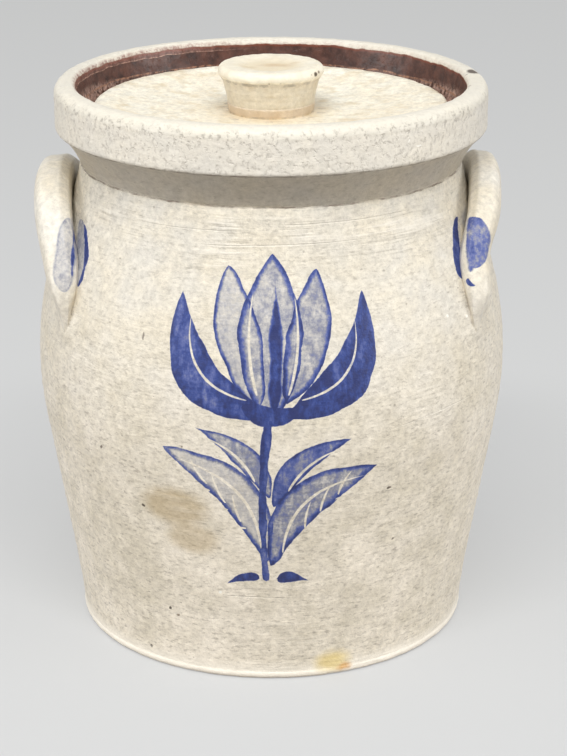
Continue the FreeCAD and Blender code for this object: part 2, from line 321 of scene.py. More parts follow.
def crock_corners(sizes):
    """The crock's half profile, from the middle of the foot to the middle of its floor."""
    base, belly, level, neck, neck_height, band, rim, wall = (size / MM for size in (
        sizes.base_radius, sizes.belly_radius, sizes.belly_height, sizes.neck_radius,
        sizes.neck_height, sizes.band_radius, sizes.rim_height, sizes.wall))
    curve, lean, tuck = 140, math.radians(9.4), math.radians(22)
    start = (belly - curve * (1 - math.cos(lean)), level - curve * math.sin(lean))
    end = (belly - curve * (1 - math.cos(tuck)), level + curve * math.sin(tuck))
    inner = curve - wall
    inner_start = (belly - curve + inner * math.cos(lean), level - inner * math.sin(lean))
    inner_end = (belly - curve + inner * math.cos(tuck), level + inner * math.sin(tuck))
    flare = 24
    floor, cove = 9, 16
    cove_end = floor + cove * (1 - math.sin(lean))
    cove_radius = start[0] - (start[1] - cove_end) * math.tan(lean) - wall / math.cos(lean)
    fine, plain, coarse = 0.9, 2.3, 6
    return (
        (0.0, 0.0, 0, 16, 0.0),
        (base - 1.6, 0.0, 2, 0.5, 0.0),
        (base + 0.3, 1.9, 3, 0.5, 0.0),
        (base + 0.12, 3.4, -290, plain, 0.2),
        (start[0] - (start[1] - flare) * math.tan(lean), flare, 0, plain, 1.0),
        (*start, curve, plain, 1.0),
        (*end, -181, plain, 1.0),
        (neck, neck_height, 0, fine, 0.4),
        (neck - 0.8, neck_height + 0.325, 0, fine, 0.0),
        (neck, neck_height + 1.3, -34, 1.5, 0.2),
        (band - 1.5, 210.2, 2, 0.5, 0.2),
        (band, 212.2, 0, 1.5, 0.5),
        (band, rim - 4.6, 4.6, fine, 0.5),
        (band - 4.6, rim, 0, fine, 0.3),
        (82.0, rim, 2.8, fine, 0.0),
        (79.2, rim - 2.8, 0, 1.2, 0.0),
        (76.4, 216.6, -3, fine, 0.0),
        (73.4, 213.6, 0, 2, 0.0),
        (67.2, 213.6, 0, fine, 0.0),
        (66.4, 212.8, 0, fine, 0.0),
        (66.4, 208.6, -15, plain, 0.0),
        (neck - wall, neck_height, 181 + wall, coarse, 1.0),
        (*inner_end, -inner, coarse, 1.0),
        (*inner_start, 0, coarse, 1.0),
        (cove_radius, cove_end, -cove, coarse, 1.0),
        (cove_radius - cove * math.cos(lean), floor, 0, coarse, 0.6),
        (0.0, floor, 0, coarse, 0.0),
    )


def lid_corners(sizes):
    """The lid's half profile: flat middle, dish, rounded edge, seat and locating ring."""
    edge = sizes.lid_radius / MM
    return (
        (0.0, 209.8, 0, 5, 0.0),
        (56.2, 209.8, 0, 1, 0.0),
        (59.4, 208.8, 0, 1, 0.0),
        (61.0, 207.2, 0, 1, 0.0),
        (63.0, 207.2, 0, 1, 0.0),
        (64.6, 208.8, 0, 1, 0.0),
        (64.6, 213.6, 0, 2, 0.0),
        (edge - 1.2, 213.6, 0, 1, 0.0),
        (edge, 214.8, 0, 1, 0.0),
        (edge, 217.2, 3, 0.6, 0.0),
        (edge - 3, 220.2, 0, 0.8, 0.3),
        (edge - 6, 220.2, -260, 1.6, 1.0),
        (24, 216.0, 0, 2, 0.4),
        (0.0, 216.0, 0, 4, 0.0),
    )


def knob_corners():
    """The knob's half profile: a plain tapered neck, a turned line and a thick rounded rim."""
    return (
        (0.0, 214.8, 0, 6, 0.0),
        (17.0, 214.8, 0, 1, 0.0),
        (17.4, 216.2, 0, 0.6, 0.0),
        (17.9, 219.4, 0, 0.4, 0.3),
        (17.7, 219.9, 0, 0.4, 0.3),
        (17.9, 220.5, -40, 0.7, 0.8),
        (19.1, 226.0, -12, 0.6, 0.8),
        (20.8, 230.6, 2.7, 0.4, 0.5),
        (18.5, 235.2, 0, 0.8, 0.3),
        (16.0, 235.2, 0, 0.8, 0.6),
        (9.0, 234.1, 0, 1, 0.8),
        (0.0, 234.1, 0, 2, 0.0),
    )


def wheel_tree():
    """Geometry nodes that turn a half profile on the wheel and leave the potter's marks."""
    tree, put, given, result = new_tree("turn_on_the_wheel", "Geometry", (
        ("Profile", "Geometry"), ("Facets", "Int", 288), ("Line depth", "Float", 0.0002),
        ("Line spacing", "Float", 0.006), ("Out of round", "Float", 0.0003),
        ("Lumps", "Float", 0.0002), ("Seed", "Float", 3.0), ("Clay", "Material"),
    ), (("Form", "Geometry"),))
    profile = given["Profile"]
    rows = put("AttributeDomainSize", Geometry=profile)
    columns = put("ADD", given["Facets"], 1.0)
    grid = put("MeshGrid", Vertices_X=columns, Vertices_Y=rows)
    index = put("InputIndex")
    row = put("MODULO", index, rows)
    column = put("FLOOR", put("DIVIDE", index, rows))
    angle = put("MULTIPLY", put("DIVIDE", column, given["Facets"]), math.tau)
    place = put("InputPosition")
    sampled = put("SampleIndex", Geometry=profile, Value=place, Index=row,
                  data_type="FLOAT_VECTOR")
    outline = put(PARTS, sampled)
    across = put("MULTIPLY", put("COSINE", angle), outline.outputs["X"])
    along = put("MULTIPLY", put("SINE", angle), outline.outputs["X"])
    turned = put(XYZ, across, along, outline.outputs["Z"])
    form = put("SetPosition", Geometry=grid, Position=turned)
    for label in ("wheel_marks", "past_slip_line"):
        named = put("InputNamedAttribute", Name=label, data_type="FLOAT")
        value = put("SampleIndex", Geometry=profile, Value=named, Index=row,
                    data_type="FLOAT")
        form = put("StoreNamedAttribute", Geometry=form, Name=label, Value=value,
                   data_type="FLOAT", domain="POINT")
    form = put("MergeByDistance", Geometry=form, Distance=TOUCHING)

    # The fingers climb in a spiral, pressing harder here and there.
    at = put("InputPosition")
    parts = put(PARTS, at)
    seeded = put(SHIFT, at, given["Seed"])
    drift = put(NOISE, seeded, per(45), 1.0)
    round_angle = put("ARCTAN2", parts.outputs["Y"], parts.outputs["X"])
    reach = put(LENGTH, put(STRETCH, at, (1.0, 1.0, 0.0)))
    climbed = put("ADD", parts.outputs["Z"], reach)
    lines = put("ADD", put("DIVIDE", climbed, given["Line spacing"]), drift)
    phase = put("MULTIPLY_ADD", lines, math.tau, round_angle)
    wave = put("MULTIPLY_ADD", put("SINE", phase), 0.5, -0.5)
    pressed = clouds(put, seeded, 30, 2.0, (0.35, 0.7, 0.1, 1.0))
    marks = put("InputNamedAttribute", Name="wheel_marks", data_type="FLOAT")
    depth = put("MULTIPLY", wave, pressed, marks, given["Line depth"])
    # The skin itself is lumpy, as coarse clay is once its surface has dried.
    lump = clouds(put, seeded, 4.6, 2.0, (0.3, 0.7, -1.0, 0.0))
    dent = put(SCALE, put("InputNormal"), put("MULTIPLY_ADD", lump, given["Lumps"], depth))
    form = put("SetPosition", Geometry=form, Offset=dent)

    # Drying pulls the ring slightly out of round, inwards only.
    twice = put("MULTIPLY_ADD", round_angle, 2.0, given["Seed"])
    oval = put("MULTIPLY_ADD", put("COSINE", twice), 0.5, -0.5)
    oval = put("MULTIPLY", oval, given["Out of round"])
    outward = put(SCALE, put(STRETCH, at, (1.0, 1.0, 0.0)), 1.0 / (90 * MM))
    pull = put(SCALE, outward, oval)
    form = put("SetPosition", Geometry=form, Offset=pull)
    form = put("SetShadeSmooth", Geometry=form)
    form = put("RealizeInstances", Geometry=form)
    form = put("SetMaterial", Geometry=form, Material=given["Clay"])
    join(form, result[0])
    return tree


def luting_tree():
    """Geometry nodes that smear the wall's clay up against the handles."""
    tree, put, given, result = new_tree("lute_the_handles", "Geometry", (
        ("Form", "Geometry"), ("Left handle", "Object"), ("Right handle", "Object"),
        ("Reach", "Float", 0.004), ("Highest", "Float", 0.16), ("Lowest", "Float", 0.15),
        ("Clay", "Material"),
    ), (("Form", "Geometry"),))
    gaps = []
    for hand in ("Left handle", "Right handle"):
        strap = put("ObjectInfo", Object=given[hand])
        gaps.append(put("Proximity", strap.outputs["Geometry"],
                        target_element="FACES").outputs["Distance"])
    gap = put("MINIMUM", gaps[0], gaps[1])
    left = put("MAXIMUM", put("SUBTRACT", given["Reach"], gap), 0.0)
    lift = put("DIVIDE", put("MULTIPLY", left, left), put("MULTIPLY", given["Reach"], 4.0))
    height = put(PARTS, put("InputPosition"))
    lift = put("MULTIPLY", lift, put(RANGE, height.outputs["Z"], given["Highest"], given["Lowest"]))
    smear = put(SCALE, put("InputNormal"), lift)
    form = put("SetPosition", Geometry=given["Form"], Offset=smear)
    form = put("RealizeInstances", Geometry=form)
    form = put("SetMaterial", Geometry=form, Material=given["Clay"])
    join(form, result[0])
    return tree


def attach_tree(piece, tree, values):
    """Give a piece a geometry nodes modifier, its inputs set by their sockets' identifiers."""
    modifier = piece.modifiers.new(tree.name, "NODES")
    modifier.node_group = tree
    identifiers = {socket.name: socket.identifier for socket in tree.interface.items_tree
                   if socket.in_out == "INPUT"}
    for label, value in values.items():
        modifier[identifiers[label]] = value


def set_out(name, data):
    """Put some data in the scene as an object."""
    made = bpy.data.objects.new(name, data)
    bpy.context.scene.collection.objects.link(made)
    return made


def finish_mesh(piece, name):
    """Replace a piece by the plain mesh that its modifiers make, with its faces outwards."""
    view = bpy.context.evaluated_depsgraph_get()
    mesh = bpy.data.meshes.new_from_object(piece.evaluated_get(view))
    bpy.data.objects.remove(piece)
    mesh.name = name
    shell = bmesh.new()
    shell.from_mesh(mesh)
    bmesh.ops.remove_doubles(shell, verts=shell.verts, dist=TOUCHING)
    bmesh.ops.recalc_face_normals(shell, faces=shell.faces)
    if shell.calc_volume(signed=True) < 0:
        bmesh.ops.reverse_faces(shell, faces=shell.faces)
    shell.to_mesh(mesh)
    shell.free()
    mesh.shade_smooth()
    return set_out(name, mesh)


def throw(name, corners, sizes, material, slip_start=None, seed=3.0, soft=0.5 * MM,
          spacing=None, depth=None, handles=()):
    """Turn a half profile into a closed, thrown piece, and lute the handles on if given."""
    points, marks = draw_profile(corners, soft)
    steps = np.hypot(*np.diff(points, axis=0).T)
    lengths = np.concatenate(((0.0,), np.cumsum(steps)))
    # Without slip, every place lies well before its line.
    past = lengths - lengths[-1] * 2
    if slip_start is not None:
        nearest = np.argmin(np.hypot(*(points - slip_start).T))
        past = lengths - lengths[nearest]
    mesh = bpy.data.meshes.new(name + "_profile")
    mesh.from_pydata([(radius, 0.0, height) for radius, height in points],
                     [(row, row + 1) for row in range(len(points) - 1)], [])
    for label, values in (("wheel_marks", marks), ("past_slip_line", past)):
        attribute = mesh.attributes.new(label, "FLOAT", "POINT")
        attribute.data.foreach_set("value", values.astype(np.float32))
    piece = set_out(name + "_profile", mesh)
    wheel = bpy.data.node_groups.get("turn_on_the_wheel") or wheel_tree()
    attach_tree(piece, wheel, {
        "Facets": sizes.turns,
        "Line depth": sizes.ripple_height if depth is None else depth,
        "Line spacing": sizes.ripple_pitch if spacing is None else spacing,
        "Out of round": sizes.out_of_round,
        "Lumps": sizes.lumps,
        "Seed": seed,
        "Clay": material,
    })
    if handles:
        attach_tree(piece, luting_tree(), {
            "Left handle": handles[0],
            "Right handle": handles[1],
            "Reach": sizes.luting,
            "Highest": LUTED[1],
            "Lowest": LUTED[0],
            "Clay": material,
        })
    return finish_mesh(piece, name)


# ---------------------------------------------------------------------------------------
# Ear handles

# Each ear handle in millimetres: side of the pot, reach of the strap's middle from the
# axis, thickness, rise of the arch above its springing, and how far the legs are drawn in.
EARS = {
    "left": (-1, 88.7, 15.4, 31.4, 7.5),
    "right": (1, 87.1, 13.4, 33.2, 9.0),
}

# The arch's half span, the height that it springs from, its usual rise, and the strap's width.
ARCH_SPAN, SPRINGING, ARCH_RISE, STRAP_WIDTH = 43.0, 155.5, 32.0, 17.0

# The strap on its arch: degrees from the crown, width share, thickness share.
ARCH_SHARES = ((25.0, 0.99, 1.00), (50.0, 0.96, 0.98), (74.0, 0.95, 0.94))

# Below the first height the handles' clay is smeared into the wall, above the second not.
LUTED = (150 * MM, 165 * MM)

# The leg smeared down the wall: distance out, spread, height, width, thickness.
SMEAR_SECTIONS = (
    (79.4, 46.4, 136.5, 8.0, 3.4),
    (80.5, 46.5, 144.0, 12.8, 6.0),
    (81.5, 45.2, 152.5, 18.0, 11.6),
)
SMEAR_LEAN = 0.12


def strap_stations(hand):
    """The strap from its front tip over the crown to its back tip, one row a station.

    A row is the middle of the section, the direction along the strap, its width in the
    arch's plane and its thickness away from the wall, in metres.
    """
    side, reach, thickness, rise, draw = EARS[hand]
    front = []
    for out, spread, height, width, through in SMEAR_SECTIONS:
        front.append((side * out, -spread, height, 0.0, SMEAR_LEAN, 1.0, width, through))
    for degrees, width_share, thickness_share in reversed(ARCH_SHARES):
        angle = math.radians(degrees)
        front.append((side * (reach - draw * (1 - math.cos(angle))),
                      -ARCH_SPAN * math.sin(angle), SPRINGING + rise * math.cos(angle),
                      0.0, ARCH_SPAN * math.cos(angle), rise * math.sin(angle),
                      STRAP_WIDTH * width_share, thickness * thickness_share))
    crown = (side * reach, 0.0, SPRINGING + rise, 0.0, ARCH_SPAN, 0.0, STRAP_WIDTH, thickness)
    back = [(x, -y, z, u, v, -w, width, through)
            for x, y, z, u, v, w, width, through in reversed(front)]
    rows = np.array(front + [crown] + back)
    rows[:, 3:6] /= np.linalg.norm(rows[:, 3:6], axis=1)[:, None]
    rows[:, (0, 1, 2, 6, 7)] *= MM
    return rows


def smooth_rows(rows, count):
    """A natural cubic spline through the rows, by distance along their middles."""
    knots = np.concatenate(((0.0,), np.cumsum(np.linalg.norm(np.diff(rows[:, :3], axis=0),
                                                             axis=1))))
    gaps = np.diff(knots)
    size = len(rows)
    system, right = np.eye(size), np.zeros_like(rows)
    for row in range(1, size - 1):
        before, after = gaps[row - 1], gaps[row]
        system[row, row - 1:row + 2] = before, 2 * (before + after), after
        right[row] = 6 * ((rows[row + 1] - rows[row]) / after - (rows[row] - rows[row - 1]) / before)
    bends = np.linalg.solve(system, right)
    places = np.linspace(0.0, knots[-1], count)
    spans = np.clip(np.searchsorted(knots, places) - 1, 0, size - 2)
    gap = gaps[spans][:, None]
    ahead = (places - knots[spans])[:, None]
    behind = gap - ahead
    return (bends[spans] * behind ** 3 / (6 * gap) + bends[spans + 1] * ahead ** 3 / (6 * gap)
            + (rows[spans] / gap - bends[spans] * gap / 6) * behind
            + (rows[spans + 1] / gap - bends[spans + 1] * gap / 6) * ahead)


def wall_line(sizes):
    """Heights and radii of the crock's outer wall from the foot to the neck."""
    points, _marks = draw_profile(crock_corners(sizes)[:8], 0.5 * MM)
    wall = points[points[:, 0] > sizes.base_radius - MM]
    return wall[:, 1], wall[:, 0]


def pull_handle(hand, sizes, material):
    """An ear handle pulled from wet clay, its ends blended into the wall."""
    around, along = 72, 160
    rows = smooth_rows(strap_stations(hand), along)
    side = EARS[hand][0]
    outward = np.array((side, 0.0, 0.0))
    forward = rows[:, 3:6] / np.linalg.norm(rows[:, 3:6], axis=1)[:, None]
    crosswise = side * np.cross(outward, forward)
    turns = np.arange(around) / around * math.tau
    # The fingers leave the strap full towards the wall, with a ridge along its outer edge,
    # and broad and fine flutes all round it.
    power = 2.0 / (3.0 - 0.8 * np.sin(turns))
    ridge = np.angle(np.exp(1j * (turns + 0.24)))
    swell = (1.0 + 0.075 * np.exp(-(ridge / 0.2) ** 2) - 0.008 * (1.0 + np.cos(5 * turns + 0.6))
             - 0.004 * (1.0 + np.cos(17 * turns)))
    wide = np.sign(np.cos(turns)) * np.abs(np.cos(turns)) ** power * swell
    thick = np.sign(np.sin(turns)) * np.abs(np.sin(turns)) ** power * swell
    points = (rows[:, None, :3]
              + crosswise[:, None] * wide[None, :, None] * rows[:, 6, None, None] / 2
              + outward * thick[None, :, None] * rows[:, 7, None, None] / 2)
    points = points.reshape(-1, 3)
    heights, radii = wall_line(sizes)
    reach = np.hypot(points[:, 0], points[:, 1])
    wall = np.interp(points[:, 2], heights, radii)
    slope = np.interp(points[:, 2], heights, np.gradient(radii, heights))
    level = 1.0 / np.sqrt(1.0 + slope ** 2)
    gap = np.maximum((reach - wall) * level, 0.0)
    smeared = np.interp(points[:, 2], LUTED, (1.0, 0.0))
    lift = np.maximum(sizes.luting - gap, 0.0) ** 2 / (4 * sizes.luting) * smeared
    away = np.stack((points[:, 0] / reach * level, points[:, 1] / reach * level,
                     -slope * level), 1)
    points = points + away * lift[:, None]
    faces = [(row * around + turn, row * around + (turn + 1) % around,
              (row + 1) * around + (turn + 1) % around, (row + 1) * around + turn)
             for row in range(along - 1) for turn in range(around)]
    faces.append(tuple(range(around)))
    faces.append(tuple(range((along - 1) * around, along * around)))
    mesh = bpy.data.meshes.new(hand + "_strap")
    mesh.from_pydata(points.tolist(), [], faces)
    mesh.materials.append(material)
    return finish_mesh(set_out(hand + "_strap", mesh), hand + "_ear_handle")


# ---------------------------------------------------------------------------------------
# Materials


def stroke_tree():
    """One brush stroke on a flat chart: where the ink is, and how thick.

    Along is the stroke's direction divided by its length, Across is square to it.
    """
    tree, put, given, result = new_tree("brush_stroke", "Shader", (
        ("Point", "Vector"), ("Start", "Vector"), ("Along", "Vector"), ("Across", "Vector"),
        ("Length", "Float", 0.02), ("Bow", "Float", 0.0), ("Width", "Float", 0.004),
        ("Head", "Float", 0.5), ("Tail", "Float", 0.5), ("Waver", "Float", 0.0),
        ("Edge", "Float", 1.0), ("Fill", "Float", 1.0), ("Rim", "Float", 0.002),
        ("Soft", "Float", 0.0004), ("Fade", "Float", 0.0),
    ), (("Ink", "Float"),))
    away = put(AWAY, given["Point"], given["Start"])
    along = put(DOT, away, given["Along"])
    across = put(DOT, away, given["Across"])
    share = put("Clamp", along)
    rest = put("SUBTRACT", 1.0, share)
    bowed = put("MULTIPLY", share, rest, given["Bow"])
    side = put("ABSOLUTE", put("SUBTRACT", across, bowed))
    head = put("POWER", share, given["Head"])
    tail = put("POWER", rest, given["Tail"])
    half = put("MULTIPLY_ADD", put("MULTIPLY", head, tail), given["Width"], given["Waver"])
    over = put("ABSOLUTE", put("SUBTRACT", along, share))
    depth = put("SUBTRACT", half, put("MULTIPLY_ADD", over, given["Length"], side))
    mask = put(RANGE, depth, 0.0, given["Soft"])
    ink = put("MULTIPLY", mask, put(SMOOTH, depth, 0.0, given["Rim"], given["Edge"], given["Fill"]))
    spent = put("SUBTRACT", 1.0, put("MULTIPLY", share, given["Fade"]))
    ink = put("MULTIPLY", ink, spent)
    join(ink, result[0])
    return tree


class Stroke(NamedTuple):
    """A brush stroke on a chart, in millimetres.

    Head and tail are the powers by which its ends taper. Its edges are dark where the colour
    pools, its middle is thinner, and it fades as the brush empties.
    """

    start: tuple
    end: tuple
    bow: float = 0.0
    half: float = 2.0
    head: float = 0.5
    tail: float = 0.5
    edge: float = 1.0
    fill: float = 1.0
    rim: float = 1.5
    soft: float = 0.35
    fade: float = 0.15


def paint_strokes(put, chart, waver, strokes):
    """Lay brush strokes on a chart; returns the node that gives the thickest ink."""
    group = bpy.data.node_groups.get("brush_stroke") or stroke_tree()
    ink = None
    for stroke in strokes:
        start = Vector((*stroke.start, 0.0)) * MM
        line = Vector((*stroke.end, 0.0)) * MM - start
        unit = line.normalized()
        head, tail = stroke.head, stroke.tail
        fullest = (head / (head + tail)) ** head * (tail / (head + tail)) ** tail
        laid = put(GROUP, chart, start, unit / line.length, (-unit.y, unit.x, 0.0), line.length,
                   stroke.bow * 4 * MM, stroke.half * MM / fullest, head, tail, waver, stroke.edge,
                   stroke.fill, stroke.rim * MM, stroke.soft * MM, stroke.fade, node_tree=group)
        ink = laid if ink is None else put("MAXIMUM", ink, laid)
    return ink


# A tulip in brushed cobalt, unrolled: millimetres round the wall from the front's middle,
# and up.
TULIP = (
    # back petals, thin washes
    Stroke((-4, 124), (-18, 175), 1.5, 8.5, 0.7, 0.7, fill=0.27, rim=2.4),
    Stroke((6, 124), (20, 174), -1.5, 8.5, 0.7, 0.7, fill=0.36, rim=2.8),
    # middle petal with a loaded streak up it
    Stroke((1, 118), (1, 180), 0.5, 12.5, 0.75, 0.75, fill=0.33, rim=3.4),
    Stroke((1.5, 120), (2, 174), -0.8, 3.6, 0.4, 0.9, fill=1.0, soft=1.4, fade=0.1),
    # outer petals
    Stroke((-4, 119), (-37, 166), 11, 8.8, 0.6, 0.85, fill=0.8, rim=3.4),
    Stroke((6, 119), (39, 165), -11, 8.8, 0.6, 0.85, fill=0.92, rim=3.6),
    # cup and stem
    Stroke((-11, 123), (13, 123), -3.5, 4.4, 0.5, 0.5),
    Stroke((0, 121), (-2, 47), -2.2, 1.9, 0.1, 0.2, edge=1.0, fill=0.85, rim=0.9),
    # leaves
    Stroke((-1, 56), (-43, 104), -11, 8.6, 0.75, 0.8, edge=0.85, fill=0.24, rim=3.0),
    Stroke((0, 54), (43, 96), 11, 9.0, 0.75, 0.8, fill=0.4, rim=3.6),
    Stroke((0, 85), (-30, 114), -6, 4.8, 0.6, 1.0, edge=0.85, fill=0.36, rim=2.0),
    Stroke((1, 81), (32, 109), 6.5, 5.0, 0.6, 1.0, fill=0.6, rim=2.2),
    # commas at the foot
    Stroke((-5, 49), (-20, 44), -1.5, 2.2, 0.4, 1.1),
    Stroke((3, 48), (19, 45), 1.5, 2.2, 0.4, 1.1),
)

# Veins scratched through the wet cobalt down to the clay.
VEINS = tuple(
    Stroke(start, end, bow, half, 0.15, 0.4, soft=0.3, fade=0.0)
    for start, end, bow, half in (
        ((-4, 62), (-38, 100), -10, 0.8), ((-12, 74), (-15, 86), 0.6, 0.6),
        ((-18, 82), (-23, 95), 0.7, 0.6), ((-25, 90), (-31, 100), 0.7, 0.6),
        ((-10, 71), (-19, 70), -0.6, 0.6), ((-17, 79), (-27, 79), -0.7, 0.6),
        ((-24, 87), (-34, 88), -0.6, 0.6),
        ((5, 60), (38, 92), 10, 0.8), ((14, 71), (16, 83), 0.6, 0.6),
        ((20, 78), (24, 90), 0.7, 0.6), ((27, 85), (32, 95), 0.7, 0.6),
        ((12, 68), (21, 66), 0.6, 0.6), ((19, 76), (29, 75), 0.7, 0.6),
        ((26, 83), (35, 83), 0.7, 0.6),
        ((-6, 92), (-25, 110), -3, 0.7), ((7, 88), (27, 105), 3, 0.7),
        ((-5, 128), (-7, 166), 2.2, 0.7), ((7, 128), (10, 165), -2.2, 0.7),
        ((-9, 126), (-32, 158), 9, 0.7), ((12, 126), (34, 157), -9, 0.7),
    ))

# Daubs of cobalt over each handle's joints, front and back alike, seen from the front: from
# the pot's middle out towards the side, and up. Some lie on the straps, the others on the wall.
DAUBS = {
    "strap": (
        (-1.0, (
            Stroke((80.4, 181.2), (81.0, 155.4), 0.3, 4.7, 0.5, 0.42, edge=0.45, fill=0.27,
                   rim=1.6, soft=1.0, fade=0.0),
            Stroke((77.9, 176.0), (78.1, 159.5), 0.0, 1.0, 0.5, 0.5, edge=0.85, fill=0.85,
                   soft=0.9),
        )),
        (1.0, (
            Stroke((80.7, 182.0), (80.3, 164.3), 1.0, 5.0, 0.42, 0.5, edge=0.68, fill=0.6,
                   rim=2.0, soft=0.8, fade=0.2),
            Stroke((79.2, 178.0), (78.4, 163.0), 0.4, 2.0, 0.5, 0.4, edge=0.7, fill=0.7,
                   soft=1.6),
            Stroke((77.0, 160.2), (80.3, 158.0), -0.6, 0.8, 0.3, 0.6, edge=0.9, fill=0.9),
        )),
    ),
    "wall": (
        (-1.0, (
            Stroke((75.2, 179.3), (77.6, 155.8), -1.6, 2.8, 0.35, 0.35, edge=0.46, fill=0.28,
                   rim=1.2, soft=0.6, fade=0.0),
            Stroke((73.9, 178.4), (76.2, 156.0), -2.1, 0.9, 0.35, 0.3, edge=0.95, fill=0.9,
                   rim=0.8, fade=0.0),
        )),
        (1.0, (
            Stroke((73.3, 181.0), (76.9, 159.0), -1.6, 2.1, 0.3, 0.3, edge=0.9, fill=0.76,
                   rim=1.0, fade=0.0),
            Stroke((75.6, 179.0), (77.4, 162.0), -1.4, 1.1, 0.4, 0.4, edge=0.4, fill=0.34,
                   soft=0.8),
            Stroke((76.4, 160.0), (80.3, 158.0), -0.6, 0.8, 0.3, 0.6, edge=0.9, fill=0.9),
        )),
    ),
}


def ink_noise(put, place):
    """How far a brush stroke's edge wanders: broadly with the hand, finely with the clay."""
    hand = put(NOISE, place, per(16), 1.0)
    both = put("MULTIPLY_ADD", put(NOISE, place, per(1.7), 2.0), 0.14, hand)
    return put(RANGE, both, 0.32, 0.82, -1.1 * MM, 1.1 * MM, clamp=False)


def unroll(put, place):
    """The wall as a flat chart: arc from the front's middle, and height."""
    parts = put(PARTS, place)
    angle = put("ARCTAN2", parts.outputs["X"], put("MULTIPLY", parts.outputs["Y"], -1.0))
    arc = put("MULTIPLY", angle, CHART_RADIUS)
    return put(XYZ, arc, parts.outputs["Z"])


def flower_tree():
    """The thickness of cobalt in the flower on the front."""
    tree, put, given, result = new_tree("brushed_flower", "Shader", (
        ("Object", "Vector"),
    ), (("Ink", "Float"),))
    place = given["Object"]
    chart = unroll(put, place)
    ink = paint_strokes(put, chart, ink_noise(put, place), TULIP)
    scratched = paint_strokes(put, chart, 0.0, VEINS)
    scratched = put("MULTIPLY", scratched, clouds(put, place, 3.5, 1.0, (0.36, 0.5, 0.75, 1.0)))
    ink = put("MULTIPLY", ink, put("SUBTRACT", 1.0, scratched))
    join(ink, result[0])
    return tree


def daub_tree(where):
    """The thickness of cobalt in the daubs over the handles' joints, on straps or wall."""
    tree, put, given, result = new_tree(where + "_daubs", "Shader", (
        ("Object", "Vector"),
    ), (("Ink", "Float"),))
    place = given["Object"]
    x, _y, z = put(PARTS, place).outputs
    chart = put(XYZ, put("ABSOLUTE", x), z)
    # The brush only reaches what lies outside the handle's arch.
    reach = put(AWAY, place, (0.0, 0.0, SPRINGING * MM))
    reach = put(LENGTH, put(STRETCH, reach, (0.0, per(ARCH_SPAN), per(ARCH_RISE))))
    outside = put(RANGE, reach, 0.94, 1.0)
    waver = ink_noise(put, place)
    both = None
    for sign, strokes in DAUBS[where]:
        side = put("GREATER_THAN", put("MULTIPLY", x, sign), 0.0)
        ink = paint_strokes(put, chart, waver, strokes)
        ink = put("MULTIPLY", ink, side)
        both = ink if both is None else put("ADD", both, ink)
    both = put("MULTIPLY", both, outside)
    join(both, result[0])
    return tree


def cobalt_tree():
    """Lay cobalt over a glaze: thin it is grey-blue, thick it is nearly navy."""
    tree, put, given, result = new_tree("cobalt_under_glaze", "Shader", (
        ("Object", "Vector"), ("Ink", "Float", 0.0), ("Glaze", "Color", (0.7, 0.6, 0.5, 1.0)),
    ), (("Colour", "Color"),))
    place = given["Object"]
    streak = put(NOISE, put(STRETCH, place, (1.0, 1.0, 0.4)), per(3.4), 3.0, 0.6)
    streak = put(RANGE, streak, 0.32, 0.66, 0.72, 1.24)
    grain = clouds(put, place, 1.5, 2.0, (0.36, 0.64, -0.18, 0.18), 0.7)
    # Grain shows through a wash and drowns in thick colour.
    grain = put("MULTIPLY", grain, put(RANGE, given["Ink"], 0.5, 0.95, 1.0, 0.25))
    ink = put("MULTIPLY", given["Ink"], put("ADD", streak, grain), use_clamp=True)
    hues = put("ValToRGB", ink)
    ramp = hues.color_ramp
    stops = ((0.0, "#cfcdc9"), (0.2, "#b3b3b8"), (0.38, "#8c8e9d"), (0.56, "#5563a0"),
             (0.76, "#263f88"), (1.0, "#0f2464"))
    while len(ramp.elements) < len(stops):
        ramp.elements.new(0.5)
    for element, (position, shade) in zip(ramp.elements, stops):
        element.position = position
        element.color = linear(shade)
    colour = put(BLEND, put(RANGE, ink, 0.02, 0.36, 0.0, 0.97), given["Glaze"], hues)
    join(colour, result[0])
    return tree


